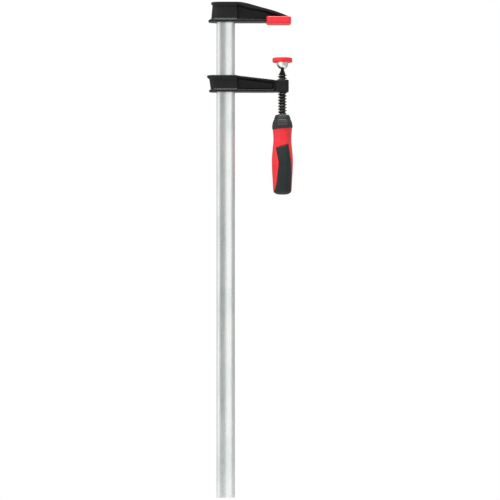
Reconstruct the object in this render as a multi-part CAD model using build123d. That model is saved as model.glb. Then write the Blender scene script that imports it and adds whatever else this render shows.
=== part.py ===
from build123d import *
import os
from math import cos, radians

# F clamp with a 24 in opening and a 2 1/2 in throat, in millimetres.
#
# The frame: the origin is on the spindle's axis, in the clamping face of the fixed jaw's pad.
# +Z runs up along the rail, +X points from the rail to the tips of the jaws, -Y is the front.
# At rest the spindle's pad hangs REST_GAP below the fixed jaw's pad.

# ---- rail: a rolled bar with a rounded bead along each edge and a shallow groove down each face
RAIL_WIDTH = 25.0
RAIL_THICKNESS = 10.0
RAIL_EDGE_RADIUS = 3.4
RAIL_GROOVE_WIDTH = 13.4
RAIL_GROOVE_DEPTH = 1.3
RAIL_LENGTH = 673.0
RAIL_CENTRE_X = -77.0
RAIL_END_CHAMFER = 0.6

# ---- both jaws are castings: a box round the rail, then an arm of I section
JAW_WIDTH = 19.6
BOX_WIDTH = 15.4
WEB_THICKNESS = 6.4
BOX_FRONT_X = -60.2
BOX_CORNER_RADIUS = 2.4
HEAD_DRAFT_HEIGHT = 1.9
HEAD_DRAFT_LEDGE = 0.3
ARM_DRAFT_HEIGHT = 2.0
SLOT_CLEARANCE = 0.3

# ---- fixed jaw
FIXED_BOTTOM = 2.5
FIXED_TOP = 29.4
FIXED_FLANGE = 3.0
FIXED_TOP_FLANGE = 2.4
FIXED_TIP_X = 8.4
FIXED_BACK_TOP_X = -94.7
FIXED_BACK_BOTTOM_X = -97.1
FIXED_TOP_LIP_X = -96.8
FIXED_BOTTOM_LIP_X = -100.6
FIXED_CROWN_START_X = -60.0
FIXED_CROWN = [(-36.9, 24.4), (-8.2, 16.2), (7.6, 10.1)]
FIXED_TIP_TOP = 8.6
FIXED_POCKET_ROOF = [(-50.0, 22.6), (-30.0, 18.6), (-8.0, 12.6), (-1.0, 10.0)]
FIXED_POCKET_TIP = [(0.0, 8.4), (-0.8, 5.5)]
FIXED_WEB_ROOF = [(-50.0, 20.6), (-30.0, 16.6), (-14.0, 12.3), (-5.0, 9.4)]
FIXED_WEB_TIP = [(-4.4, 8.7), (-4.8, 7.5)]
FIXED_TIP_CORNER = 4.0

# ---- fixed jaw's pad: a plastic cap over the lower flange
PAD_BACK_X = -21.8
PAD_FRONT_X = 11.8
PAD_WIDTH = 26.0
PAD_HEIGHT = 9.4
PAD_CORNER_RADIUS = 5.0
PAD_LOWER_EDGE_RADIUS = 2.2
PAD_UPPER_EDGE_RADIUS = 1.6

# ---- sliding jaw
SLIDING_TOP = -69.8
SLIDING_BOTTOM = -92.4
SLIDING_FLANGE = 2.7
SLIDING_BACK_TOP_X = -100.1
SLIDING_BACK_BOTTOM_X = -96.8
SLIDING_TOP_LIP_X = -102.5
SLIDING_BOTTOM_LIP_X = -99.6
BOSS_TOP = -75.9
BOSS_BOTTOM = -92.4
BOSS_RADIUS = 8.7
BOSS_WIDTH = 19.6
BOSS_EDGE_RADIUS = 1.4
ARM_TOP_START = (-62.0, -70.4)
ARM_TOP_END = (-8.8, -76.7)
ARM_END_X = -3.5
HEAD_FLAT_END_X = -64.0
POCKET_END_X = -11.5
POCKET_CORNER_RADIUS = 2.2

# ---- spindle: single-start right-hand thread, pitch 4
THREAD_PITCH = 4.0
THREAD_CREST_RADIUS = 6.0
THREAD_ROOT_RADIUS = 3.9
THREAD_CREST_FLAT = 0.7
THREAD_BASE_WIDTH = 3.0
THREAD_TOP = -66.4
THREAD_RUN_OUT = 3.2
BORE_CLEARANCE = 0.06
NECK_RADIUS = 2.35
NECK_BOTTOM = -62.7
SHANK_BOTTOM = -205.0

# ---- the spindle's ball and the pad that swivels on it
REST_GAP = 46.0
CAP_RADIUS = 13.5
CAP_HEIGHT = 6.0
CAP_TOP_WALL = 2.2
CAP_LIP = 1.5
CAP_EDGE_RADIUS = 1.3
PLATE_RADIUS = 11.6
HUB_RADIUS = 8.0
HUB_SHOULDER_Z = -54.6
CUP_WAIST = (7.0, -57.6)
CUP_BOTTOM = -60.1
CUP_MOUTH_RADIUS = 4.75
BALL_CENTRE_Z = -57.4
BALL_RADIUS = 3.6
FIT = 0.05
RETAINER_WALL = 0.7
RETAINER_BELOW = 2.4
RETAINER_ABOVE = 1.8
RETAINER_SLIT = 0.6
CRIMP_PLACE = (0.4, -55.4)
CRIMP_RADIUS = 1.1
CRIMP_DEPTH = 0.8

# ---- handle: a soft-cornered hexagon, given as (height, width across corners)
HANDLE_TOP = -123.4
HANDLE_BOTTOM = -231.6
COLLAR_BOTTOM = -141.7
COLLAR_STATIONS = [(-123.4, 18.0), (-125.0, 19.9), (-131.0, 24.2), (-136.5, 27.6), (-141.7, 27.6)]
BODY_STATIONS = [
    (-141.7, 26.6), (-149.0, 25.2), (-158.0, 24.5), (-170.0, 26.6), (-184.0, 28.8),
    (-198.0, 28.2), (-209.0, 27.0), (-225.0, 25.2),
]
END_STATIONS = [(-225.0, 25.2), (-229.4, 22.8), (-231.6, 17.0)]
CORNER_SHARE = 0.42
SPIGOT_RADIUS = 8.0
SPIGOT_TOP = -128.0
GRIP_THICKNESS = 2.0
GRIP_END_Z = -226.5

# ---- front view of a grip panel: it leans over to the right and widens into the end
PANEL_LEFT = [
    (-8.8, -168.4), (-6.5, -180.6), (-5.2, -189.9), (-6.9, -204.0), (-8.8, -217.1), (-13.5, -227.0),
]
PANEL_RIGHT = [(13.0, -227.0), (13.1, -208.9), (13.0, -193.7), (10.9, -180.6), (7.2, -162.9)]

FAR = 60.0

JAW_SIDE = JAW_WIDTH / 2
BOX_SIDE = BOX_WIDTH / 2
WEB_SIDE = WEB_THICKNESS / 2


# ------------------------------------------------------------------ helpers
def plan(z):
    """A horizontal sketch plane at height z."""
    return Plane.XY.offset(z)


def front_extrude(sketch_xz, half_width):
    """Extrude a sketch drawn in the front view (X, Z) by half_width to the front and the back."""
    return extrude(Plane.XZ * sketch_xz, amount=half_width, both=True)


def revolve_profile(points):
    """Turn a closed (radius, z) outline about the spindle's axis."""
    return revolve(Plane.XZ * make_face(Polyline(*points, close=True)), axis=Axis.Z)


def rail_section(grow=0.0):
    """The rail's section in plan, grown all round by grow for the slot that clears it."""
    width = RAIL_WIDTH + 2 * grow
    thickness = RAIL_THICKNESS + 2 * grow
    bar = RectangleRounded(width, thickness, RAIL_EDGE_RADIUS + grow)
    half_chord = RAIL_GROOVE_WIDTH / 2
    groove_radius = (half_chord**2 + RAIL_GROOVE_DEPTH**2) / (2 * RAIL_GROOVE_DEPTH)
    centre_y = RAIL_THICKNESS / 2 + groove_radius - RAIL_GROOVE_DEPTH
    for side in (-1, 1):
        bar -= Pos(0, side * centre_y) * Circle(groove_radius - grow)
    return Pos(RAIL_CENTRE_X, 0) * bar


def round_back(back_x, front_x, side):
    """A plan outline with a full-round back end and a square front end."""
    centre_x = back_x + side
    body = Pos((centre_x + front_x) / 2, 0) * Rectangle(front_x - centre_x, 2 * side)
    return body + Pos(centre_x, 0) * Circle(side)


def round_both(back_x, front_x, side, front_radius):
    """A plan outline with a full-round back end and rounded corners at the front."""
    bar = round_back(back_x, front_x, side)
    corners = bar.vertices().filter_by(lambda v: v.X > front_x - 0.01)
    return fillet(corners, front_radius)


def outside(outline):
    """A plan sketch of everything round an outline."""
    return Rectangle(4 * FAR, 2 * FAR) - outline


def head_gap(back_x, bottom, top):
    """The space beside a jaw's box between its two flanges, as a block right through the jaw."""
    width = BOX_FRONT_X - back_x + 1.0
    place = Pos((back_x + BOX_FRONT_X) / 2, 0, (bottom + top) / 2)
    return place * Box(width, JAW_WIDTH + 1.0, top - bottom)


def head_draft(flange_z, direction, lip_x, back_x):
    """The slope cast between a flange at flange_z and the box, up (1) or down (-1) from the flange."""
    foot = round_both(
        lip_x + HEAD_DRAFT_LEDGE, BOX_FRONT_X, JAW_SIDE - HEAD_DRAFT_LEDGE, BOX_CORNER_RADIUS
    )
    head = round_both(back_x, BOX_FRONT_X, BOX_SIDE, BOX_CORNER_RADIUS)
    head_z = flange_z + direction * HEAD_DRAFT_HEIGHT
    return loft([plan(flange_z) * foot, plan(head_z) * head], ruled=True)


def side_hollows(mouth, floor):
    """The hollows on both sides of a web: their walls slope in from the mouth to the floor."""
    front = loft([Plane.XZ.offset(JAW_SIDE) * mouth, Plane.XZ.offset(WEB_SIDE) * floor], ruled=True)
    return front + mirror(front, about=Plane.XZ)


def head_box(bottom, top, back_bottom_x, back_top_x):
    """The box of a jaw round the rail, with its back wall sloping from back_bottom_x to back_top_x."""
    faces = []
    for z, back_x in ((bottom, back_bottom_x), (top, back_top_x)):
        faces.append(plan(z) * round_both(back_x, BOX_FRONT_X, BOX_SIDE, BOX_CORNER_RADIUS))
    return loft(faces, ruled=True)


def hexagon(width):
    """A regular hexagon with soft corners, corners at +X and -X, width across them."""
    tip_loss = 1 / cos(radians(30)) - 1
    circumradius = width / 2 / (1 - CORNER_SHARE * tip_loss)
    flat = RegularPolygon(circumradius, 6)
    return fillet(flat.vertices(), CORNER_SHARE * circumradius)


def hexagon_loft(stations, inset=0.0):
    """A smooth loft through soft-cornered hexagons at (z, width) stations."""
    return loft([plan(z) * hexagon(width - 2 * inset) for z, width in stations])


def cylinder_between(radius, bottom, top):
    """A cylinder on the spindle's axis."""
    return extrude(plan(bottom) * Circle(radius), amount=top - bottom)


# ------------------------------------------------------------------ rail and fixed jaw
def make_rail():
    """The bar, flush with the fixed jaw's top, its lower end lightly chamfered."""
    bar = extrude(plan(FIXED_TOP) * rail_section(), amount=-RAIL_LENGTH)
    end = bar.faces().sort_by(Axis.Z)[0]
    return chamfer(end.edges(), RAIL_END_CHAMFER)


def fixed_jaw_outline():
    """The front view of the fixed jaw: flat over the rail, then a long curve down to the tip."""
    start = (FIXED_CROWN_START_X, FIXED_TOP)
    tip = FIXED_CROWN[-1]
    crown = Spline(start, *FIXED_CROWN, tangents=[(1, -0.06), (1, -0.42)])
    rest = Polyline(
        tip, (FIXED_TIP_X, FIXED_TIP_TOP), (FIXED_TIP_X, FIXED_BOTTOM),
        (FIXED_BOTTOM_LIP_X, FIXED_BOTTOM), (FIXED_BOTTOM_LIP_X, FIXED_TOP), start,
    )
    return make_face([crown, rest])


def fixed_jaw_pocket(roof_points, tip_points, draft=0.0):
    """The front view of the hollow beside the web: its roof curves down from the head's flange."""
    start_x = BOX_FRONT_X - BOX_CORNER_RADIUS
    start = (start_x, FIXED_TOP - FIXED_TOP_FLANGE - draft)
    roof = Spline(start, *roof_points, tangents=[(1, -0.3), (1, -0.36)])
    floor_end = (start_x, FIXED_BOTTOM + FIXED_FLANGE + draft)
    sides = Polyline(roof_points[-1], *tip_points, floor_end, start)
    return make_face([roof, sides])


def make_fixed_jaw(rail):
    """The casting pressed on the rail's top end: box, two flanges and a web."""
    outline = fixed_jaw_outline()
    web_start = (BOX_FRONT_X + FIXED_BACK_BOTTOM_X) / 2
    web = front_extrude(outline & Pos(web_start + FAR, 0) * Rectangle(2 * FAR, 2 * FAR), WEB_SIDE)
    box = head_box(FIXED_BOTTOM, FIXED_TOP, FIXED_BACK_BOTTOM_X, FIXED_BACK_TOP_X)

    footprint = round_both(FIXED_BOTTOM_LIP_X, FIXED_TIP_X, JAW_SIDE, FIXED_TIP_CORNER)
    reach = extrude(plan(FIXED_BOTTOM) * footprint, amount=FIXED_TOP - FIXED_BOTTOM)
    slab = front_extrude(outline, JAW_SIDE) & reach
    mouth = fixed_jaw_pocket(FIXED_POCKET_ROOF, FIXED_POCKET_TIP)
    hollow = side_hollows(mouth, fixed_jaw_pocket(FIXED_WEB_ROOF, FIXED_WEB_TIP, ARM_DRAFT_HEIGHT))
    gap_top = FIXED_TOP - FIXED_TOP_FLANGE
    gap_bottom = FIXED_BOTTOM + FIXED_FLANGE
    gap = head_gap(FIXED_BOTTOM_LIP_X, gap_bottom, gap_top)
    top_footprint = round_both(FIXED_TOP_LIP_X, FIXED_TIP_X, JAW_SIDE, FIXED_TIP_CORNER)
    top_trim = extrude(plan(gap_top) * outside(top_footprint), amount=FIXED_TOP_FLANGE)
    jaw = slab - hollow - gap - top_trim + web + box
    jaw += head_draft(gap_bottom, 1, FIXED_BOTTOM_LIP_X, FIXED_BACK_BOTTOM_X)
    jaw += head_draft(gap_top, -1, FIXED_TOP_LIP_X, FIXED_BACK_TOP_X)
    return jaw - rail


def make_fixed_jaw_pad(fixed_jaw):
    """The plastic cap that fits round the jaw's lower flange and its tip."""
    length = PAD_FRONT_X - PAD_BACK_X
    block = Pos((PAD_FRONT_X + PAD_BACK_X) / 2, 0, 0) * extrude(
        RectangleRounded(length, PAD_WIDTH, PAD_CORNER_RADIUS), amount=PAD_HEIGHT
    )
    block = fillet(block.faces().sort_by(Axis.Z)[0].edges(), PAD_LOWER_EDGE_RADIUS)
    block = fillet(block.faces().sort_by(Axis.Z)[-1].edges(), PAD_UPPER_EDGE_RADIUS)
    return block - fixed_jaw


# ------------------------------------------------------------------ sliding jaw
def sliding_arm_top(x):
    """Height of the sliding arm's top edge at x: it drops gently from the box to the boss."""
    (start_x, start_z), (end_x, end_z) = ARM_TOP_START, ARM_TOP_END
    return start_z + (x - start_x) * (end_z - start_z) / (end_x - start_x)


def sliding_jaw_outline():
    """The front view of the sliding jaw up to its boss."""
    slope_x = BOX_FRONT_X + 1.2
    return make_face(Polyline(
        (SLIDING_TOP_LIP_X, SLIDING_BOTTOM), (SLIDING_TOP_LIP_X, SLIDING_TOP),
        (HEAD_FLAT_END_X, SLIDING_TOP), (slope_x, sliding_arm_top(slope_x)),
        (ARM_END_X, sliding_arm_top(ARM_END_X)), (ARM_END_X, SLIDING_BOTTOM), close=True,
    ))


def sliding_jaw_pocket(draft=0.0):
    """The front view of the hollow beside the sliding jaw's web, drawn in by draft."""
    flange = SLIDING_FLANGE + draft
    floor = SLIDING_BOTTOM + flange
    end_x = POCKET_END_X - draft
    start_x = BOX_FRONT_X - BOX_CORNER_RADIUS
    slope_x = BOX_FRONT_X + 2.2
    pocket = make_face(Polyline(
        (start_x, floor), (start_x, SLIDING_TOP - flange), (slope_x, sliding_arm_top(slope_x) - flange),
        (end_x, sliding_arm_top(end_x) - flange), (end_x, floor), close=True,
    ))
    ends = pocket.vertices().filter_by(lambda v: v.X > end_x - 0.1)
    return fillet(ends, POCKET_CORNER_RADIUS)


def make_boss():
    """The rounded block at the arm's end that the spindle goes through."""
    footprint = RectangleRounded(2 * BOSS_RADIUS, BOSS_WIDTH, 0.6 * BOSS_RADIUS)
    boss = extrude(plan(BOSS_BOTTOM) * footprint, amount=BOSS_TOP - BOSS_BOTTOM)
    return fillet(boss.faces().filter_by(Axis.Z).edges(), BOSS_EDGE_RADIUS)


def make_sliding_jaw():
    """The casting that runs on the rail and carries the spindle in its boss."""
    height = SLIDING_TOP - SLIDING_BOTTOM
    outline = sliding_jaw_outline()
    silhouette = front_extrude(outline, JAW_SIDE)
    footprint = round_back(SLIDING_TOP_LIP_X, ARM_END_X, JAW_SIDE)
    slab = silhouette & extrude(plan(SLIDING_BOTTOM) * footprint, amount=height)
    box = head_box(SLIDING_BOTTOM, SLIDING_TOP, SLIDING_BACK_BOTTOM_X, SLIDING_BACK_TOP_X) & silhouette
    web = front_extrude(outline & Pos(BOX_FRONT_X + FAR / 2, 0) * Rectangle(FAR + 2, 4 * FAR), WEB_SIDE)

    hollow = side_hollows(sliding_jaw_pocket(), sliding_jaw_pocket(ARM_DRAFT_HEIGHT))
    gap_top = SLIDING_TOP - SLIDING_FLANGE
    gap_bottom = SLIDING_BOTTOM + SLIDING_FLANGE
    gap = head_gap(SLIDING_TOP_LIP_X, gap_bottom, gap_top)
    bottom_footprint = round_back(SLIDING_BOTTOM_LIP_X, FAR, JAW_SIDE)
    bottom_trim = extrude(plan(SLIDING_BOTTOM) * outside(bottom_footprint), amount=SLIDING_FLANGE)
    jaw = slab - hollow - gap - bottom_trim + web + box + make_boss()
    jaw += head_draft(gap_bottom, 1, SLIDING_BOTTOM_LIP_X, SLIDING_BACK_BOTTOM_X)
    jaw += head_draft(gap_top, -1, SLIDING_TOP_LIP_X, SLIDING_BACK_TOP_X)

    slot = extrude(plan(SLIDING_BOTTOM - 1.0) * rail_section(SLOT_CLEARANCE), amount=height + 2.0)
    bore = cylinder_between(THREAD_CREST_RADIUS + BORE_CLEARANCE, SLIDING_BOTTOM - 1.0, SLIDING_TOP)
    return jaw - slot - bore


# ------------------------------------------------------------------ spindle and its pad
def make_thread(bottom, top):
    """The helical ridge of the spindle's thread between two heights, as one swept solid."""
    overlap = 0.25
    path = Pos(0, 0, bottom) * Helix(THREAD_PITCH, top - bottom, THREAD_ROOT_RADIUS)
    depth = THREAD_CREST_RADIUS - THREAD_ROOT_RADIUS
    slope = (THREAD_BASE_WIDTH - THREAD_CREST_FLAT) / 2 / depth
    foot = THREAD_BASE_WIDTH / 2 + slope * overlap
    tip = THREAD_CREST_FLAT / 2
    start = Plane(origin=(THREAD_ROOT_RADIUS, 0, bottom), x_dir=(1, 0, 0), z_dir=(0, -1, 0))
    corners = [(-overlap, -foot), (depth, -tip), (depth, tip), (-overlap, foot)]
    return sweep(start * make_face(Polyline(*corners, close=True)), path=path, is_frenet=True)


def make_spindle():
    """Ball, neck, cone, threaded length and the shank inside the handle."""
    thread_bottom = HANDLE_TOP - 2.0
    core = cylinder_between(THREAD_ROOT_RADIUS, SHANK_BOTTOM, THREAD_TOP)
    ridge = make_thread(thread_bottom - THREAD_PITCH, THREAD_TOP + THREAD_PITCH)
    beyond = THREAD_CREST_RADIUS + 1.0
    envelope = revolve_profile([
        (0, thread_bottom), (beyond, thread_bottom), (beyond, THREAD_TOP - THREAD_RUN_OUT),
        (THREAD_ROOT_RADIUS - 0.1, THREAD_TOP), (0, THREAD_TOP),
    ])
    spindle = core + (ridge & envelope)
    neck = revolve_profile([
        (0, THREAD_TOP), (THREAD_ROOT_RADIUS, THREAD_TOP), (NECK_RADIUS, NECK_BOTTOM),
        (NECK_RADIUS, BALL_CENTRE_Z), (0, BALL_CENTRE_Z),
    ])
    ball = Pos(0, 0, BALL_CENTRE_Z) * Sphere(BALL_RADIUS)
    return spindle + neck + ball


def make_ball_retainer():
    """The split ring round the ball: a shell with both poles cut off and one slit."""
    shell = Sphere(BALL_RADIUS + FIT + RETAINER_WALL) - Sphere(BALL_RADIUS + FIT)
    height = RETAINER_ABOVE + RETAINER_BELOW
    band = Pos(0, 0, (RETAINER_ABOVE - RETAINER_BELOW) / 2) * Box(FAR, FAR, height)
    slit = Pos(0, FAR / 2, 0) * Box(RETAINER_SLIT, FAR, height)
    return Pos(0, 0, BALL_CENTRE_Z) * ((shell & band) - slit)


def make_pressure_plate():
    """The plated steel plate: a disc held in the plastic cap and the cup for the ball below it."""
    plate_top = -REST_GAP - CAP_TOP_WALL
    plate_bottom = -REST_GAP - CAP_HEIGHT + CAP_LIP
    shoulder = (HUB_RADIUS, HUB_SHOULDER_Z)
    mouth = (CUP_MOUTH_RADIUS, CUP_BOTTOM)
    side = Spline(shoulder, CUP_WAIST, mouth, tangents=[(-0.05, -1), (-1, -0.75)])
    body = Polyline(
        mouth, (0, CUP_BOTTOM), (0, plate_top), (PLATE_RADIUS, plate_top),
        (PLATE_RADIUS, plate_bottom), (HUB_RADIUS, plate_bottom), shoulder,
    )
    plate = revolve(Plane.XZ * make_face([side, body]), axis=Axis.Z)
    socket = Pos(0, 0, BALL_CENTRE_Z) * Sphere(BALL_RADIUS + RETAINER_WALL + 2 * FIT)
    crimp_x, crimp_z = CRIMP_PLACE
    crimp = Rot(90, 0, 0) * Cylinder(CRIMP_RADIUS, 2 * CRIMP_DEPTH)
    return plate - socket - Pos(crimp_x, -HUB_RADIUS, crimp_z) * crimp


def make_pressure_plate_cap(plate):
    """The plastic cap snapped over the plate, open below for the cup."""
    disc = cylinder_between(CAP_RADIUS, -REST_GAP - CAP_HEIGHT, -REST_GAP)
    disc = fillet(disc.faces().filter_by(Axis.Z).edges(), CAP_EDGE_RADIUS)
    return disc - plate


# ------------------------------------------------------------------ handle
def grip_panel_outline():
    """The front view of a grip panel, run down into the handle's end."""
    left = Spline(*PANEL_LEFT)
    right = Spline(*PANEL_RIGHT)
    top = Line(PANEL_RIGHT[-1], PANEL_LEFT[0])
    foot = Line(PANEL_LEFT[-1], PANEL_RIGHT[0])
    return make_face([left, foot, right, top])


def make_handle(spindle):
    """The three mouldings of the handle: hard core, collar and soft grip."""
    body = hexagon_loft(BODY_STATIONS) + hexagon_loft(END_STATIONS)
    inner = hexagon_loft(BODY_STATIONS, GRIP_THICKNESS)

    panel = extrude(Plane.XZ * grip_panel_outline(), amount=FAR)
    window = panel + Rot(0, 0, 180) * panel
    end = Pos(0, 0, GRIP_END_Z - FAR / 2) * Box(FAR, FAR, FAR)
    grip = ((body - inner) & window) + (body & end)
    spigot = cylinder_between(SPIGOT_RADIUS, COLLAR_BOTTOM, SPIGOT_TOP)
    core = (body - grip) + spigot - spindle
    collar = hexagon_loft(COLLAR_STATIONS) - spigot - spindle
    return core, collar, grip


def main():
    os.makedirs("parts", exist_ok=True)
    rail = make_rail()
    fixed_jaw = make_fixed_jaw(rail)
    spindle = make_spindle()
    plate = make_pressure_plate()
    core, collar, grip = make_handle(spindle)
    nodes = {
        "rail": rail,
        "fixed_jaw": fixed_jaw,
        "fixed_jaw_pad": make_fixed_jaw_pad(fixed_jaw),
        "sliding_jaw": make_sliding_jaw(),
        "ball_retainer": make_ball_retainer(),
        "spindle": spindle,
        "pressure_plate": plate,
        "pressure_plate_cap": make_pressure_plate_cap(plate),
        "handle_core": core,
        "handle_collar": collar,
        "soft_grip": grip,
    }
    for name, shape in nodes.items():
        export_step(shape, f"parts/{name}.step")
        print(name, "volume", round(shape.volume, 1))


main()
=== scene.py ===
from math import cos, pi, radians, sin, sqrt

import bmesh
import bpy
import numpy as np
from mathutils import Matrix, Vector, noise
from mathutils.geometry import delaunay_2d_cdt


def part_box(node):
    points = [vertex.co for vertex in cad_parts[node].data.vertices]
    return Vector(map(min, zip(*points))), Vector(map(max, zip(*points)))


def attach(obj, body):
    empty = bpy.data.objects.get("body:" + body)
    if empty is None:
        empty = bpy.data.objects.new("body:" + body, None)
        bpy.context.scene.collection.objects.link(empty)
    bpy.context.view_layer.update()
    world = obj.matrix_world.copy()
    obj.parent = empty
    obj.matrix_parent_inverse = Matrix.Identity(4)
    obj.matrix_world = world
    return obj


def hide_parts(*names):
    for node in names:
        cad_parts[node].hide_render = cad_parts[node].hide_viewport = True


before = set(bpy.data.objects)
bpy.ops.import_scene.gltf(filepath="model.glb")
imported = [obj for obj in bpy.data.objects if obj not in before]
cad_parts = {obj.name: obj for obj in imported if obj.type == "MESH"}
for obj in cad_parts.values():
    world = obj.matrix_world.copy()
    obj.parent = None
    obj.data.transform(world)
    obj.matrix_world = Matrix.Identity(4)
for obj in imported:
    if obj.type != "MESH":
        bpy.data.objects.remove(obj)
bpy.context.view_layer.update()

MM = 0.001
scene = bpy.context.scene

# ---------------------------------------------------------------- places, from the frame
RAIL_LOW, RAIL_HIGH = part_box("rail")
RAIL_X = (RAIL_LOW.x + RAIL_HIGH.x) / 2
COLLAR_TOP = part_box("handle_collar")[1].z / MM


# ---------------------------------------------------------------- small helpers
MERGE_DISTANCE = 0.002 * MM
STATION_STEPS = 24


def new_object(name, mesh, material, smooth=True):
    """A mesh object with one material, linked to the scene."""
    obj = bpy.data.objects.new(name, mesh)
    scene.collection.objects.link(obj)
    mesh.materials.clear()
    mesh.materials.append(material)
    mesh.polygons.foreach_set("use_smooth", [smooth] * len(mesh.polygons))
    return obj


def mesh_from(name, points, faces):
    """A mesh from points in metres, with outward normals."""
    mesh = bpy.data.meshes.new(name)
    mesh.from_pydata([tuple(p) for p in points], [], faces)
    mesh.validate()
    bm = bmesh.new()
    bm.from_mesh(mesh)
    bmesh.ops.remove_doubles(bm, verts=bm.verts, dist=MERGE_DISTANCE)
    bmesh.ops.recalc_face_normals(bm, faces=bm.faces)
    bm.to_mesh(mesh)
    bm.free()
    return mesh


def place(obj, body, slot, *nodes):
    """Let a piece ride on its body, in the place of the CAD nodes that it stands for."""
    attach(obj, body)
    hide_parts(*nodes)
    return obj


def smoothstep(low, high, x):
    """0 below low, 1 above high, and a smooth rise between them."""
    t = np.clip((x - low) / (high - low), 0.0, 1.0)
    return t * t * (3 - 2 * t)


def catmull_rom(points, steps):
    """A smooth open curve through 2D points, as an array with the given steps per span."""
    p = np.array(points, float)
    p = np.vstack([2 * p[0] - p[1], p, 2 * p[-1] - p[-2]])
    out = []
    for i in range(1, len(p) - 2):
        for s in range(steps):
            t = s / steps
            a, b, c, d = p[i - 1], p[i], p[i + 1], p[i + 2]
            out.append(0.5 * (2 * b + (c - a) * t + (2 * a - 5 * b + 4 * c - d) * t**2
                              + (3 * b - a - 3 * c + d) * t**3))
    out.append(p[-2])
    return np.array(out)


def smooth_value(stations, x):
    """The value at x on a smooth curve through (x, value) stations, sorted by x."""
    curve = catmull_rom(sorted(stations), STATION_STEPS)
    return np.interp(x, curve[:, 0], curve[:, 1])


# ---------------------------------------------------------------- material helpers
class Shader:
    """A Principled material with its own texture coordinates in metres."""

    def __init__(self, name, color, **constants):
        self.material = bpy.data.materials.new(name)
        self.material.use_nodes = True
        self.nodes = self.material.node_tree.nodes
        self.links = self.material.node_tree.links
        self.bsdf = self.nodes["Principled BSDF"]
        self.bsdf.inputs["Base Color"].default_value = (*color, 1)
        for socket, value in constants.items():
            self.bsdf.inputs[socket.replace("_", " ")].default_value = value
        self.coords = self.nodes.new("ShaderNodeTexCoord").outputs["Object"]
        self.last_normal = None

    def noise(self, scale, detail=4.0, roughness=0.55, stretch=(1, 1, 1)):
        """Noise of the given scale per metre, stretched along the axes."""
        mapping = self.nodes.new("ShaderNodeMapping")
        mapping.inputs["Scale"].default_value = stretch
        self.links.new(self.coords, mapping.inputs["Vector"])
        node = self.nodes.new("ShaderNodeTexNoise")
        node.inputs["Scale"].default_value = scale
        node.inputs["Detail"].default_value = detail
        node.inputs["Roughness"].default_value = roughness
        self.links.new(mapping.outputs["Vector"], node.inputs["Vector"])
        return node.outputs["Fac"]

    def voronoi(self, scale):
        """Rounded cells of the given scale per metre."""
        node = self.nodes.new("ShaderNodeTexVoronoi")
        node.inputs["Scale"].default_value = scale
        self.links.new(self.coords, node.inputs["Vector"])
        return node.outputs["Distance"]

    def distance_from_axis(self):
        """Distance of the surface from the piece's own vertical axis, in metres."""
        flat = self.nodes.new("ShaderNodeVectorMath")
        flat.operation = "MULTIPLY"
        flat.inputs[1].default_value = (1, 1, 0)
        self.links.new(self.coords, flat.inputs[0])
        length = self.nodes.new("ShaderNodeVectorMath")
        length.operation = "LENGTH"
        self.links.new(flat.outputs["Vector"], length.inputs[0])
        return length.outputs["Value"]

    def ramp(self, source, stops):
        """A colour ramp over a value: stops are (position, colour)."""
        node = self.nodes.new("ShaderNodeValToRGB")
        elements = node.color_ramp.elements
        while len(elements) < len(stops):
            elements.new(0.5)
        for element, (position, color) in zip(elements, stops):
            element.position = position
            element.color = (*color, 1)
        self.links.new(source, node.inputs["Fac"])
        return node.outputs["Color"]

    def mix(self, factor, a, b):
        """a and b are colours or sockets; factor is a socket or a number."""
        node = self.nodes.new("ShaderNodeMix")
        node.data_type = "RGBA"
        for socket, value in ((node.inputs[0], factor), (node.inputs[6], a), (node.inputs[7], b)):
            if isinstance(value, bpy.types.NodeSocket):
                self.links.new(value, socket)
            elif isinstance(value, tuple):
                socket.default_value = (*value, 1)
            else:
                socket.default_value = value
        return node.outputs[2]

    def scaled(self, source, low, high, from_low=0.3, from_high=0.7):
        """A value remapped from its usual range to low..high."""
        node = self.nodes.new("ShaderNodeMapRange")
        node.inputs["From Min"].default_value = from_low
        node.inputs["From Max"].default_value = from_high
        node.inputs["To Min"].default_value = low
        node.inputs["To Max"].default_value = high
        self.links.new(source, node.inputs["Value"])
        return node.outputs["Result"]

    def color(self, socket):
        self.links.new(socket, self.bsdf.inputs["Base Color"])

    def roughness(self, socket):
        self.links.new(socket, self.bsdf.inputs["Roughness"])

    def bump(self, socket, height, strength=1.0):
        """Add a bump of the given height in metres on top of the earlier ones."""
        node = self.nodes.new("ShaderNodeBump")
        node.inputs["Distance"].default_value = height
        node.inputs["Strength"].default_value = strength
        self.links.new(socket, node.inputs["Height"])
        if self.last_normal:
            self.links.new(self.last_normal, node.inputs["Normal"])
        self.last_normal = node.outputs["Normal"]
        self.links.new(self.last_normal, self.bsdf.inputs["Normal"])


# ---------------------------------------------------------------- materials
def zinc_steel():
    """Bright zinc plate on a rolled bar: faint streaks along it and soft cloudy patches."""
    s = Shader("zinc_plate", (0.78, 0.80, 0.79), Metallic=1.0)
    clouds = s.noise(45, 5, 0.6, (1, 1, 0.35))
    streaks = s.noise(900, 3, 0.6, (1, 1, 0.02))
    tint = s.ramp(clouds, [
        (0.30, (0.66, 0.70, 0.70)), (0.50, (0.78, 0.81, 0.795)), (0.70, (0.84, 0.84, 0.80)),
    ])
    s.color(s.mix(s.scaled(streaks, 0.0, 0.35), tint, (0.62, 0.65, 0.66)))
    s.roughness(s.scaled(s.noise(140, 5, 0.6, (1, 1, 0.3)), 0.24, 0.36))
    s.bump(streaks, 0.00003, 0.5)
    s.bump(s.noise(260, 3), 0.00008, 0.35)
    return s.material


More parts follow.
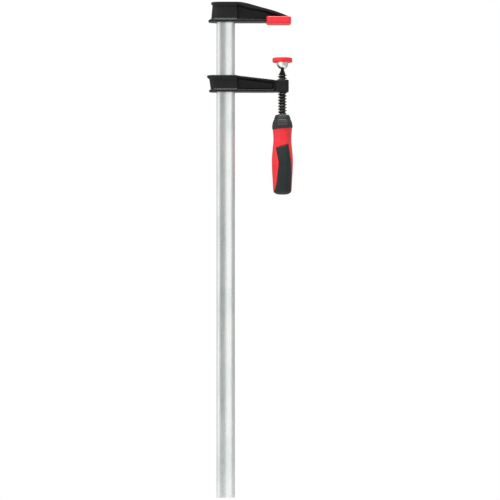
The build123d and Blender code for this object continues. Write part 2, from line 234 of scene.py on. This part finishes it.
def black_casting():
    """Black paint over sand-cast iron: soft lumps, orange peel and slightly duller patches."""
    s = Shader("black_casting_paint", (0.011, 0.011, 0.0115), Specular_IOR_Level=0.19)
    patches = s.noise(60, 5, 0.6)
    s.color(s.ramp(patches, [(0.30, (0.008, 0.008, 0.0085)), (0.72, (0.015, 0.015, 0.0155))]))
    s.roughness(s.scaled(patches, 0.26, 0.42))
    s.bump(s.noise(420, 3, 0.5), 0.00012, 0.45)
    s.bump(s.noise(1800, 2, 0.5), 0.00003, 0.4)
    return s.material


def red_plastic():
    """Glossy moulded plastic with a fine spark-eroded grain."""
    s = Shader("red_plastic", (0.82, 0.018, 0.030), Specular_IOR_Level=0.5)
    cloud = s.noise(70, 4, 0.5)
    s.color(s.ramp(cloud, [(0.30, (0.77, 0.0135, 0.023)), (0.70, (0.865, 0.023, 0.0365))]))
    s.roughness(s.scaled(s.noise(300, 4), 0.30, 0.42))
    s.bump(s.noise(2600, 2, 0.5), 0.00002, 0.5)
    return s.material


def black_steel():
    """Oiled black oxide on the rolled thread, with a painted highlight: a lighter colour along the thread's
    crests.
    """
    s = Shader("black_oxide_steel", (0.02, 0.02, 0.021), Metallic=0.75)
    oxide = s.ramp(s.noise(700, 5, 0.7), [(0.45, (0.016, 0.016, 0.017)), (0.75, (0.05, 0.048, 0.042))])
    # painted highlight: a lighter colour on the thread's crests, standing in for the light they catch
    crest_highlight_color = s.ramp(s.noise(330, 4, 0.6), [(0.40, (0.05, 0.05, 0.045)), (0.62, (0.30, 0.285, 0.23))])
    crest_highlight_mask = s.scaled(s.distance_from_axis(), 0.0, 0.9, 5.2 * MM, 5.9 * MM)
    s.color(s.mix(crest_highlight_mask, oxide, crest_highlight_color))
    s.roughness(s.scaled(s.noise(400, 4), 0.26, 0.42))
    s.bump(s.noise(1500, 3), 0.00003, 0.5)
    return s.material


def plated_steel():
    """Bright nickel plating on the turned plate, with fine turning lines."""
    s = Shader("nickel_plate", (0.84, 0.83, 0.79), Metallic=1.0)
    lines = s.noise(1200, 3, 0.6, (0.15, 0.15, 4))
    s.color(s.ramp(s.noise(160, 4), [(0.3, (0.74, 0.73, 0.69)), (0.7, (0.88, 0.87, 0.84))]))
    s.roughness(s.scaled(lines, 0.14, 0.28))
    s.bump(lines, 0.00002, 0.4)
    return s.material


def black_plastic():
    """Matte dark grey plastic with a leathery mould grain."""
    s = Shader("collar_plastic", (0.023, 0.023, 0.025), Specular_IOR_Level=0.35)
    s.color(s.ramp(s.noise(120, 4), [(0.3, (0.018, 0.018, 0.020)), (0.7, (0.028, 0.028, 0.030))]))
    s.roughness(s.scaled(s.noise(240, 4), 0.46, 0.60))
    s.bump(s.voronoi(1600), 0.00005, 0.5)
    return s.material


def soft_black():
    """Soft rubbery plastic: matte, faintly green, with fine pebbling."""
    s = Shader("soft_grip_rubber", (0.010, 0.018, 0.018), Specular_IOR_Level=0.35)
    s.color(s.ramp(s.noise(130, 4), [(0.3, (0.008, 0.014, 0.014)), (0.7, (0.013, 0.022, 0.022))]))
    s.roughness(s.scaled(s.noise(350, 4), 0.52, 0.66))
    s.bump(s.voronoi(1900), 0.00005, 0.6)
    return s.material


# ---------------------------------------------------------------- rail
SERRATION_PITCH = 1.6 * MM
SERRATION_DEPTH = 0.22 * MM
RAIL_CORNER = 3.4 * MM
RAIL_END_CHAMFER = 0.6 * MM
BEAD_FLAT = 1.1 * MM
GROOVE_WIDTH = 13.4 * MM
GROOVE_DEPTH = 1.3 * MM
GROOVE_LIP = 0.35 * MM
GROOVE_LIP_DROP = 0.01 * MM
EDGE_STEPS = 4
CORNER_STEPS = 8
GROOVE_STEPS = 12
CORNER_SHARE = 0.35
RAIL_SHARP_ANGLE = radians(14)


def rail_profile():
    """The rail's section as (x, y, share) points; share is 1 where the serrations cut the narrow edges."""
    half_w = (RAIL_HIGH.x - RAIL_LOW.x) / 2
    half_t = (RAIL_HIGH.y - RAIL_LOW.y) / 2
    quarter = [(half_w, (half_t - RAIL_CORNER) * i / EDGE_STEPS, 1.0) for i in range(EDGE_STEPS)]
    shares = [1.0, CORNER_SHARE] + [0.0] * (CORNER_STEPS - 1)
    for i, share in enumerate(shares):
        a = pi / 2 * i / CORNER_STEPS
        x = half_w - RAIL_CORNER + RAIL_CORNER * cos(a)
        y = half_t - RAIL_CORNER + RAIL_CORNER * sin(a)
        quarter.append((x, y, share))
    chord = GROOVE_WIDTH / 2
    radius = (chord**2 + GROOVE_DEPTH**2) / (2 * GROOVE_DEPTH)
    quarter.append((chord + BEAD_FLAT, half_t, 0.0))
    quarter.append((chord + GROOVE_LIP, half_t - GROOVE_LIP_DROP, 0.0))
    for i in range(GROOVE_STEPS):
        x = (chord - GROOVE_LIP) * (1 - i / GROOVE_STEPS)
        quarter.append((x, half_t - GROOVE_DEPTH + radius - sqrt(radius**2 - x**2), 0.0))
    quarter.append((0.0, half_t - GROOVE_DEPTH, 0.0))
    upper = quarter[:-1] + [(-x, y, share) for x, y, share in reversed(quarter)]
    lower = [(x, -y, share) for x, y, share in reversed(upper[1:-1])]
    return upper + lower


def make_rail(material):
    """The bar with fine serrations rolled across both narrow edges, as the jaw's bite needs."""
    profile = rail_profile()
    count = len(profile)
    chamfer_top = RAIL_LOW.z + RAIL_END_CHAMFER
    levels = [(RAIL_LOW.z, RAIL_END_CHAMFER, 0.0), (chamfer_top, 0.0, 0.0)]
    pitches = int((RAIL_HIGH.z - RAIL_LOW.z) / SERRATION_PITCH)
    for i in range(2, pitches - 1):
        z = RAIL_LOW.z + i * SERRATION_PITCH
        levels.append((z, 0.0, 1.0))
        levels.append((z + 0.5 * SERRATION_PITCH, 0.0, 0.0))
    levels.append((RAIL_HIGH.z, 0.0, 0.0))
    points = []
    for z, inset, cut in levels:
        for x, y, share in profile:
            shift = min(inset + SERRATION_DEPTH * cut * share, abs(x))
            points.append((RAIL_X + x - np.sign(x) * shift, y - np.sign(y) * inset, z))
    faces = []
    for k in range(len(levels) - 1):
        for i in range(count):
            j = (i + 1) % count
            faces.append((k * count + i, k * count + j, (k + 1) * count + j, (k + 1) * count + i))
    top = (len(levels) - 1) * count
    faces.append(tuple(range(count)))
    faces.append(tuple(top + i for i in reversed(range(count))))
    mesh = mesh_from("rail_bar", points, faces)
    obj = new_object("rail_bar", mesh, material)
    mesh.set_sharp_from_angle(angle=RAIL_SHARP_ANGLE)
    return place(obj, "frame", "zinc_steel", "rail")


# ---------------------------------------------------------------- castings
VOXEL = 0.42 * MM
SMOOTHING_FACTOR = 0.5
SMOOTHING_ROUNDS = 7
FACES_KEPT = 0.5
CAD_MERGE_DISTANCE = 0.001 * MM
LUMP_SCALE = 160
LUMP_HEIGHT = 0.07 * MM
PARTING_HEIGHT = 0.16 * MM
PARTING_WIDTH = 0.55 * MM
BOSS_VALLEY_X = -9.6 * MM
VALLEY_DEPTH = 2.6 * MM
VALLEY_WIDTH = 1.5 * MM
VALLEY_START = 5.0 * MM
VALLEY_FULL = 9.0 * MM


def rounded_copy(name, node, material):
    """The CAD node's shape with every edge rounded, as an object with a plain mesh."""
    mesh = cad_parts[node].data.copy()
    bm = bmesh.new()
    bm.from_mesh(mesh)
    bmesh.ops.remove_doubles(bm, verts=bm.verts, dist=CAD_MERGE_DISTANCE)
    bm.to_mesh(mesh)
    bm.free()
    obj = new_object(name, mesh, material)
    remesh = obj.modifiers.new("remesh", "REMESH")
    remesh.mode = "VOXEL"
    remesh.voxel_size = VOXEL
    soften = obj.modifiers.new("soften", "SMOOTH")
    soften.factor = SMOOTHING_FACTOR
    soften.iterations = SMOOTHING_ROUNDS
    thin = obj.modifiers.new("thin", "DECIMATE")
    thin.ratio = FACES_KEPT
    done = bpy.data.meshes.new_from_object(obj.evaluated_get(bpy.context.evaluated_depsgraph_get()))
    obj.modifiers.clear()
    obj.data = done
    done.polygons.foreach_set("use_smooth", [True] * len(done.polygons))
    return obj


def make_casting(name, node, body, material, valley_x=None):
    """A jaw as it comes from the sand: rounded edges, soft lumps and a faint parting line.

    At valley_x a valley runs down both sides, between the arm and the boss."""
    obj = rounded_copy(name, node, material)
    count = len(obj.data.vertices)
    points = np.empty(count * 3)
    normals = np.empty(count * 3)
    obj.data.vertices.foreach_get("co", points)
    obj.data.vertices.foreach_get("normal", normals)
    points = points.reshape(-1, 3)
    normals = normals.reshape(-1, 3)
    lump = np.array([noise.noise(Vector(p) * LUMP_SCALE) for p in points]) * LUMP_HEIGHT
    edge_on = 1 - normals[:, 1] ** 2
    ridge = PARTING_HEIGHT * edge_on * np.maximum(0.0, 1 - np.abs(points[:, 1]) / PARTING_WIDTH)
    points += normals * (lump + ridge)[:, None]
    if valley_x is not None:
        depth = VALLEY_DEPTH * np.exp(-(((points[:, 0] - valley_x) / VALLEY_WIDTH) ** 2))
        outward = smoothstep(VALLEY_START, VALLEY_FULL, np.abs(points[:, 1]))
        points[:, 1] -= np.sign(points[:, 1]) * depth * outward
    points = np.clip(points, *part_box(node))
    obj.data.vertices.foreach_set("co", points.ravel())
    obj.data.update()
    return place(obj, body, "black_casting", node)


# ---------------------------------------------------------------- handle
# Angles run round the handle from its front, towards +X; heights are in millimetres in the frame.
# A place on its surface is (u, v) in millimetres: u round it, and v down it from the frame's z = 0.
# Stations are (height, width across the corners), and a band is the distances where an effect fades.
HEX_POWER = 10.3
HEX_CORNER_GAIN = 1.0797
MEAN_RADIUS = 13.0
SMALLEST_RADIUS = 0.3
BODY_STATIONS = [
    (-141.7, 26.6), (-149.0, 25.2), (-158.0, 24.5), (-170.0, 26.6), (-184.0, 28.8),
    (-198.0, 28.2), (-209.0, 27.0), (-225.0, 25.2),
]
END_START = -225.0
END_BOTTOM = -231.6
END_WIDTH = 25.2
END_POWER = 0.62
END_HOLE = 0.02
END_LENGTH = 16.2
END_TURN = 8.5
V_TOP = 140.0
V_BOTTOM = -END_START + END_LENGTH
SEAM = -83.0
PANEL_PROUD = 0.12
PANEL_PROUD_BAND = (0.9, 2.2)
PANEL_OUTLINE = 1.3
PANEL_OUTLINE_BAND = (0.5, 1.1)
CORE_OUTLINE = 0.25
CORE_OUTLINE_BAND = (0.0, 0.5)
PANEL_THICKNESS = 2.0
PANEL_FIT = 0.05
CORE_SHARP_ANGLE = radians(40)
# The edge of the grip's panel on the handle's front, as (angle in degrees, v).
LEFT_EDGE = [
    (SEAM, 228.2), (-74, 227.4), (-63, 225.0), (-42, 217.1), (-30, 204.0), (-22.5, 189.9), (-29, 180.6),
    (-41.0, 171.8),
]
TOP_EDGE = [(-43.0, 169.8), (-41.0, 168.5), (39, 163.1), (42.6, 164.3)]
RIGHT_EDGE = [
    (44, 166.6), (55, 180.6), (69, 193.7), (75.5, 208.9), (79, 221.0), (84, 226.6), (180 + SEAM, 228.2),
]
EDGE_CURVE_STEPS = 10
EDGE_SPACING = 0.55
GRID = 0.85
BEVEL_STEPS = (0.3, 0.6, 0.95, 1.35)
RING_SHARE = 0.97
BORDER_GAP = 0.3
SEAM_GAP = 0.4
GRID_GAP = 0.35
OUTLINE_TOLERANCE = 1e-5
BEYOND_END = 5.0


def hexagon_radius(theta, width):
    """Radius of the soft-cornered hexagon at an angle, for a width across its corners."""
    total = sum(np.maximum(0.0, np.cos(theta - k * pi / 3)) ** HEX_POWER for k in range(6))
    return width / 2 / HEX_CORNER_GAIN * total ** (-1 / HEX_POWER)


def body_profile(v):
    """Distance v in mm down the handle's surface, from z = 0, to (z, width across corners)."""
    on_side = v < -END_START
    side_z = np.where(on_side, -v, END_START)
    turned = np.clip((v + END_START) / (V_BOTTOM + END_START), 0, 1) * (pi / 2 - END_HOLE)
    end_z = END_START - (END_START - END_BOTTOM) * np.sin(turned)
    end_width = END_WIDTH * np.cos(turned) ** END_POWER
    side_width = smooth_value(BODY_STATIONS, side_z)
    return np.where(on_side, side_z, end_z), np.where(on_side, side_width, end_width)


def surface_points(uv, inset):
    """Points on the handle for places (u, v), inset along the radius and, on its end, upwards."""
    theta = uv[:, 0] / MEAN_RADIUS
    z, width = body_profile(uv[:, 1])
    end = smoothstep(-END_START, -END_START + END_TURN, uv[:, 1])
    radius = np.maximum(hexagon_radius(theta, width) - inset * (1 - end), SMALLEST_RADIUS)
    z = z + inset * end
    return np.column_stack([radius * np.sin(theta), -radius * np.cos(theta), z]) * MM


def u_of(angle):
    """The place round the handle, in mm, of an angle in degrees."""
    return radians(angle) * MEAN_RADIUS


def boundary_curve():
    """Where the core meets the grip: round the end, up the panel's left, over it and down its right."""
    points = [(u_of(angle), v) for angle, v in LEFT_EDGE + TOP_EDGE + RIGHT_EDGE]
    curve = catmull_rom(points, EDGE_CURVE_STEPS)
    gaps = np.r_[0, np.cumsum(np.linalg.norm(np.diff(curve, axis=0), axis=1))]
    at = np.linspace(0, gaps[-1], int(gaps[-1] / EDGE_SPACING))
    return np.column_stack([np.interp(at, gaps, curve[:, k]) for k in (0, 1)])


def signed_distance(points, curve, inside):
    """Distance in mm from a curve, positive where inside is true."""
    a, b = curve[:-1], curve[1:]
    d = b - a
    best = np.full(len(points), np.inf)
    for i in range(len(a)):
        t = np.clip(((points - a[i]) @ d[i]) / (d[i] @ d[i]), 0, 1)
        best = np.minimum(best, np.linalg.norm(points - a[i] - t[:, None] * d[i], axis=1))
    return np.where(inside, best, -best)


def in_polygon(points, polygon):
    """Whether each point lies inside a closed polygon."""
    x, y = points[:, 0], points[:, 1]
    inside = np.zeros(len(points), bool)
    j = len(polygon) - 1
    for i in range(len(polygon)):
        (xi, yi), (xj, yj) = polygon[i], polygon[j]
        if yi != yj:
            crosses = ((yi > y) != (yj > y)) & (x < (xj - xi) * (y - yi) / (yj - yi) + xi)
            inside ^= crosses
        j = i
    return inside


def offset_curve(curve, distance):
    """The curve moved sideways by a distance."""
    tangent = np.gradient(curve, axis=0)
    tangent /= np.linalg.norm(tangent, axis=1)[:, None]
    return curve + distance * np.column_stack([-tangent[:, 1], tangent[:, 0]])


def distance_to(points, curve):
    """Distance in mm from a curve, on either side of it."""
    return signed_distance(points, curve, np.ones(len(points), bool))


def bevel_rings(curve, u0, u1):
    """Points beside the boundary at each bevel step, on both sides of it."""
    rings = []
    for step in BEVEL_STEPS:
        for side in (-1, 1):
            ring = offset_curve(curve, side * step)
            clear = distance_to(ring, curve) > step * RING_SHARE
            inside = (ring[:, 0] > u0 + BORDER_GAP) & (ring[:, 0] < u1 - BORDER_GAP)
            rings.append(ring[clear & inside])
    return rings


def half_handle():
    """One half of the handle's surface as triangles in (u, v), split along the boundary curve.

    Returns points, triangles, which triangles are soft grip, the signed distance at each point
    and the indices of the boundary's points in order."""
    u0, u1 = u_of(SEAM), u_of(180 + SEAM)
    curve = boundary_curve()
    vs = np.linspace(V_TOP, V_BOTTOM, int((V_BOTTOM - V_TOP) / GRID))
    us = np.linspace(u0, u1, int((u1 - u0) / GRID))[1:-1]
    seam_v = np.sort(np.r_[vs[np.abs(vs - curve[0, 1]) > SEAM_GAP], curve[0, 1]])
    sides = [np.column_stack([np.full(len(seam_v), u), seam_v]) for u in (u0, u1)]
    caps = [np.column_stack([us, np.full(len(us), v)]) for v in (V_TOP, V_BOTTOM)]
    uu, vv = np.meshgrid(us, vs[1:-1])
    grid = np.column_stack([uu.ravel(), vv.ravel()])
    grid = grid[distance_to(grid, curve) > BEVEL_STEPS[-1] + GRID_GAP]
    border = np.vstack(sides + caps)
    points = np.vstack([border, curve[1:-1], grid] + bevel_rings(curve, u0, u1))

    # the boundary's ends are the border points nearest to them
    left_end = int(np.argmin(np.abs(sides[0][:, 1] - curve[0, 1])))
    right_end = len(sides[0]) + int(np.argmin(np.abs(sides[1][:, 1] - curve[-1, 1])))
    chain = [left_end, *range(len(border), len(border) + len(curve) - 2), right_end]
    edges = list(zip(chain[:-1], chain[1:]))
    outline = delaunay_2d_cdt([Vector(p) for p in points], edges, [], 0, OUTLINE_TOLERANCE)
    verts = np.array([tuple(p) for p in outline[0]])
    triangles = [tuple(t) for t in outline[2]]
    where = {old: new for new, olds in enumerate(outline[3]) for old in olds}
    chain = [where[i] for i in chain]

    polygon = np.vstack([curve, [[u1, V_BOTTOM + BEYOND_END], [u0, V_BOTTOM + BEYOND_END]]])
    centres = np.array([(verts[a] + verts[b] + verts[c]) / 3 for a, b, c in triangles])
    soft = in_polygon(centres, polygon)
    distance = signed_distance(verts, curve, in_polygon(verts, polygon))
    return verts, triangles, soft, distance, chain


def both_halves(points, faces):
    """The points and faces with a copy turned by half a turn about the spindle's axis."""
    count = len(points)
    turned = points * np.array([-1, -1, 1])
    return np.vstack([points, turned]), faces + [tuple(i + count for i in f) for f in faces]


def wall(chain, low, high):
    """Quads between two levels of points along a chain."""
    return [(chain[i] + low, chain[i + 1] + low, chain[i + 1] + high, chain[i] + high)
            for i in range(len(chain) - 1)]


def rim(verts, value):
    """The points on the top or bottom border, in order round the handle."""
    found = [i for i in range(len(verts)) if abs(verts[i, 1] - value) < 1e-6]
    return sorted(found, key=lambda i: verts[i, 0])


def fan(ring, level, half_count, centre):
    """Triangles that close both halves of a border with one centre point."""
    return [(ring[i] + level + half, ring[i + 1] + level + half, centre)
            for half in (0, half_count) for i in range(len(ring) - 1)]


def make_core(half, material):
    """The hard core: its skin outside the grip, the recess under the grip, and the step between them."""
    verts, triangles, soft, distance, chain = half
    count = len(verts)
    dip = CORE_OUTLINE * (1 - smoothstep(*CORE_OUTLINE_BAND, np.abs(distance)))
    skin = surface_points(verts, dip)
    recess = surface_points(verts, np.full(count, PANEL_THICKNESS))
    faces = [t if not s else tuple(i + count for i in t) for t, s in zip(triangles, soft)]
    faces += wall(chain, 0, count)
    points, faces = both_halves(np.vstack([skin, recess]), faces)
    top, bottom = len(points), len(points) + 1
    points = np.vstack([points, [[0, 0, -V_TOP * MM]], [[0, 0, (END_BOTTOM + PANEL_THICKNESS) * MM]]])
    faces += fan(rim(verts, V_TOP), 0, 2 * count, top)
    faces += fan(rim(verts, V_BOTTOM), count, 2 * count, bottom)
    core = new_object("handle_core_shell", mesh_from("handle_core_shell", points, faces), material)
    core.data.set_sharp_from_angle(angle=CORE_SHARP_ANGLE)
    return place(core, "spindle", "red_plastic", "handle_core")


def remove_loose_points(mesh):
    """Delete the points that no face uses."""
    bm = bmesh.new()
    bm.from_mesh(mesh)
    loose = [v for v in bm.verts if not v.link_faces]
    bmesh.ops.delete(bm, geom=loose, context="VERTS")
    bm.to_mesh(mesh)
    bm.free()


def make_grip(half, material):
    """The soft grip: its skin, the underside that lies in the recess, and the edge between them."""
    verts, triangles, soft, distance, chain = half
    count = len(verts)
    outline = 1 - smoothstep(*PANEL_OUTLINE_BAND, np.abs(distance))
    proud = PANEL_PROUD * smoothstep(*PANEL_PROUD_BAND, distance) - PANEL_OUTLINE * outline
    depth = PANEL_THICKNESS - PANEL_FIT
    skin = surface_points(verts, -proud)
    underside = surface_points(verts, np.full(count, depth))
    faces = [t for t, s in zip(triangles, soft) if s]
    faces += [tuple(i + count for i in reversed(t)) for t in faces]
    faces += wall(chain, 0, count)
    points, faces = both_halves(np.vstack([skin, underside]), faces)
    outer, inner = len(points), len(points) + 1
    points = np.vstack([points, [[0, 0, END_BOTTOM * MM]], [[0, 0, (END_BOTTOM + depth) * MM]]])
    ring = rim(verts, V_BOTTOM)
    faces += fan(ring, 0, 2 * count, outer)
    faces += fan(ring, count, 2 * count, inner)
    grip = new_object("soft_grip_shell", mesh_from("soft_grip_shell", points, faces), material)
    remove_loose_points(grip.data)
    grip.data.set_sharp_from_angle(angle=CORE_SHARP_ANGLE)
    return place(grip, "spindle", "soft_black", "soft_grip")


# ---------------------------------------------------------------- collar
COLLAR_STATIONS = [
    (-123.4, 18.0), (-125.0, 19.9), (-131.0, 24.2), (-136.5, 27.6), (-141.7, 27.6), (-144.0, 26.9),
]
COLLAR_TURNS = 180
COLLAR_ROWS = 46
COLLAR_HOLE = 5.2
COLLAR_TOP_RADII = (COLLAR_HOLE, 7.6, 8.4)
COLLAR_EDGE = -142.2
COLLAR_EDGE_WAVE = 1.3
COLLAR_EDGE_ROUND = 0.45
COLLAR_EDGE_START = 0.965
COLLAR_BANDS = (-129.6, -136.0)
COLLAR_BAND_DEPTH = 0.5
COLLAR_BAND_WIDTH = 0.6
COLLAR_LIP = 0.02
COLLAR_OVERLAP = (0.5, 1.6)
COLLAR_OVERLAP_RISE = 0.6
COLLAR_CEILING = -138.0
COLLAR_CEILING_RADIUS = 8.0
COLLAR_SHARP_ANGLE = radians(50)


def collar_rows(theta):
    """The collar's section as (radius, height) rows: top, outside, lower edge, and inside."""
    low = COLLAR_EDGE + COLLAR_EDGE_WAVE * np.sin(theta)
    rows = [(np.full(COLLAR_TURNS, r), np.full(COLLAR_TURNS, COLLAR_TOP)) for r in COLLAR_TOP_RADII]
    start = COLLAR_TOP - COLLAR_LIP
    for t in np.linspace(0, 1, COLLAR_ROWS):
        z = start + (low - start) * t
        band = sum(COLLAR_BAND_DEPTH * np.exp(-(((z - at) / COLLAR_BAND_WIDTH) ** 2)) for at in COLLAR_BANDS)
        edge = COLLAR_EDGE_ROUND * smoothstep(COLLAR_EDGE_START, 1.0, t) ** 2
        rows.append((hexagon_radius(theta, smooth_value(COLLAR_STATIONS, z)) - band - edge, z))
    body = hexagon_radius(theta, smooth_value(BODY_STATIONS, np.minimum(low, BODY_STATIONS[0][0])))
    rows.append((body - COLLAR_OVERLAP[0], low - COLLAR_LIP))
    rows.append((body - COLLAR_OVERLAP[1], low + COLLAR_OVERLAP_RISE))
    ceiling = np.full(COLLAR_TURNS, COLLAR_CEILING)
    rows.append((np.full(COLLAR_TURNS, COLLAR_CEILING_RADIUS), ceiling))
    rows.append((np.full(COLLAR_TURNS, COLLAR_HOLE), ceiling))
    return rows


def make_collar(material):
    """The collar: two shallow grooves round it and a lower edge that waves round the handle."""
    theta = np.linspace(0, 2 * pi, COLLAR_TURNS, endpoint=False)
    rows = collar_rows(theta)
    points = []
    for radius, height in rows:
        points += [(r * sin(a) * MM, -r * cos(a) * MM, z * MM) for r, a, z in zip(radius, theta, height)]
    faces = []
    for k in range(len(rows)):
        here, above = k * COLLAR_TURNS, (k + 1) % len(rows) * COLLAR_TURNS
        for i in range(COLLAR_TURNS):
            j = (i + 1) % COLLAR_TURNS
            faces.append((here + i, here + j, above + j, above + i))
    obj = new_object("handle_collar_shell", mesh_from("handle_collar_shell", points, faces), material)
    obj.data.set_sharp_from_angle(angle=COLLAR_SHARP_ANGLE)
    return place(obj, "spindle", "black_plastic", "handle_collar")


# ---------------------------------------------------------------- stage, lights and camera
CAMERA_AIM = Vector((-0.044, 0.0, -0.307))
CAMERA_DISTANCE = 2.2
VIEW_WIDTH = 0.680
SENSOR = 36.0
FLOOR_Z = -0.81
FLOOR_RADIUS = 0.9
FLOOR_SIDES = 96


def make_camera():
    """Square on to the front, from far enough away that little perspective shows."""
    data = bpy.data.cameras.new("camera")
    data.sensor_width = SENSOR
    data.lens = SENSOR * CAMERA_DISTANCE / VIEW_WIDTH
    camera = bpy.data.objects.new("camera", data)
    camera.location = CAMERA_AIM + Vector((0, -CAMERA_DISTANCE, 0))
    camera.rotation_euler = (pi / 2, 0, 0)
    scene.collection.objects.link(camera)
    scene.camera = camera


def area_light(name, azimuth, elevation, distance, size, power):
    """A soft box; azimuth runs from the front towards +X, and it faces the object."""
    data = bpy.data.lights.new(name, "AREA")
    data.shape = "RECTANGLE"
    data.size, data.size_y = size
    data.energy = power
    light = bpy.data.objects.new(name, data)
    a, e = radians(azimuth), radians(elevation)
    offset = Vector((sin(a) * cos(e), -cos(a) * cos(e), sin(e))) * distance
    light.location = CAMERA_AIM + offset
    light.rotation_euler = offset.to_track_quat("Z", "Y").to_euler()
    scene.collection.objects.link(light)


# The studio's brightness by direction: 0 is the camera's side, negative angles are to its left.
STUDIO = [
    (-180, 0.22), (-125, 0.26), (-90, 0.42), (-60, 0.58), (-44, 0.62), (-5, 0.60), (4, 0.27), (40, 0.25),
    (62, 0.33), (100, 0.28), (180, 0.22),
]
# And by the height of the direction, from straight down (-1) to straight up (1).
STUDIO_HEIGHT = [(-1.0, 1.0), (0.28, 1.0), (0.46, 0.40), (0.80, 0.45), (0.96, 0.80)]
STUDIO_STRENGTH = 2.4


def world_ramp(nodes, stops):
    """A grey ramp with the given (position, level) stops."""
    ramp = nodes.new("ShaderNodeValToRGB")
    elements = ramp.color_ramp.elements
    while len(elements) < len(stops):
        elements.new(0.5)
    for element, (position, level) in zip(elements, stops):
        element.position = position
        element.color = (level, level, level, 1)
    return ramp


def make_world():
    """White to the camera; for light and reflections a studio that is dimmer on the right."""
    world = bpy.data.worlds.new("studio")
    scene.world = world
    world.use_nodes = True
    nodes, links = world.node_tree.nodes, world.node_tree.links
    nodes.clear()
    coords = nodes.new("ShaderNodeTexCoord")
    split = nodes.new("ShaderNodeSeparateXYZ")
    links.new(coords.outputs["Generated"], split.inputs["Vector"])
    back = nodes.new("ShaderNodeMath")
    back.operation = "MULTIPLY"
    back.inputs[1].default_value = -1.0
    links.new(split.outputs["Y"], back.inputs[0])
    azimuth = nodes.new("ShaderNodeMath")
    azimuth.operation = "ARCTAN2"
    links.new(split.outputs["X"], azimuth.inputs[0])
    links.new(back.outputs["Value"], azimuth.inputs[1])
    turn = nodes.new("ShaderNodeMapRange")
    turn.inputs["From Min"].default_value = -pi
    turn.inputs["From Max"].default_value = pi
    links.new(azimuth.outputs["Value"], turn.inputs["Value"])
    round_about = world_ramp(nodes, [(angle / 360 + 0.5, level) for angle, level in STUDIO])
    links.new(turn.outputs["Result"], round_about.inputs["Fac"])
    height = nodes.new("ShaderNodeMapRange")
    height.inputs["From Min"].default_value = -1.0
    links.new(split.outputs["Z"], height.inputs["Value"])
    up_down = world_ramp(nodes, [(z / 2 + 0.5, level) for z, level in STUDIO_HEIGHT])
    links.new(height.outputs["Result"], up_down.inputs["Fac"])
    both = nodes.new("ShaderNodeMath")
    both.operation = "MULTIPLY"
    links.new(round_about.outputs["Color"], both.inputs[0])
    links.new(up_down.outputs["Color"], both.inputs[1])
    strength = nodes.new("ShaderNodeMath")
    strength.operation = "MULTIPLY"
    strength.inputs[1].default_value = STUDIO_STRENGTH
    links.new(both.outputs["Value"], strength.inputs[0])
    studio = nodes.new("ShaderNodeBackground")
    links.new(strength.outputs["Value"], studio.inputs["Strength"])
    white = nodes.new("ShaderNodeBackground")
    white.inputs["Color"].default_value = (1, 1, 1, 1)
    path = nodes.new("ShaderNodeLightPath")
    mix = nodes.new("ShaderNodeMixShader")
    links.new(path.outputs["Is Camera Ray"], mix.inputs["Fac"])
    links.new(studio.outputs["Background"], mix.inputs[1])
    links.new(white.outputs["Background"], mix.inputs[2])
    out = nodes.new("ShaderNodeOutputWorld")
    links.new(mix.outputs["Shader"], out.inputs["Surface"])


def make_floor():
    """A round pale floor, just below the handle's end when the jaw is all the way down."""
    angles = np.linspace(0, 2 * pi, FLOOR_SIDES, endpoint=False)
    ring = [(FLOOR_RADIUS * cos(a), FLOOR_RADIUS * sin(a), FLOOR_Z) for a in angles]
    mesh = mesh_from("floor", ring, [tuple(range(FLOOR_SIDES))])
    s = Shader("pale_floor", (0.80, 0.80, 0.80), Roughness=0.95, Emission_Strength=0.2)
    s.bsdf.inputs["Emission Color"].default_value = (1, 1, 1, 1)
    s.color(s.ramp(s.noise(3, 3), [(0.3, (0.79, 0.79, 0.79)), (0.7, (0.81, 0.81, 0.81))]))
    new_object("floor", mesh, s.material, smooth=False)


# ---------------------------------------------------------------- build
make_camera()
make_world()
make_floor()
area_light("key_box", -35, 50, 1.7, (1.5, 1.0), 1)
area_light("top_box", -10, 78, 1.5, (1.4, 0.5), 36)
area_light("back_box", 180, 36, 1.8, (1.6, 0.5), 3)
scene.view_settings.view_transform = "Standard"

zinc = zinc_steel()
casting = black_casting()
red = red_plastic()
dark_steel = black_steel()
plated = plated_steel()
collar_plastic = black_plastic()
rubber = soft_black()

make_rail(zinc)
make_casting("fixed_jaw_casting", "fixed_jaw", "frame", casting)
make_casting("sliding_jaw_casting", "sliding_jaw", "sliding_jaw", casting, BOSS_VALLEY_X)
half = half_handle()
make_core(half, red)
make_grip(half, rubber)
make_collar(collar_plastic)

for node, material, slot in (
    ("fixed_jaw_pad", red, "red_plastic"), ("pressure_plate_cap", red, "red_plastic"),
    ("pressure_plate", plated, "plated_steel"), ("spindle", dark_steel, "black_steel"),
    ("ball_retainer", collar_plastic, "black_plastic"),
):
    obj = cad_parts[node]
    obj.data.materials.clear()
    obj.data.materials.append(material)
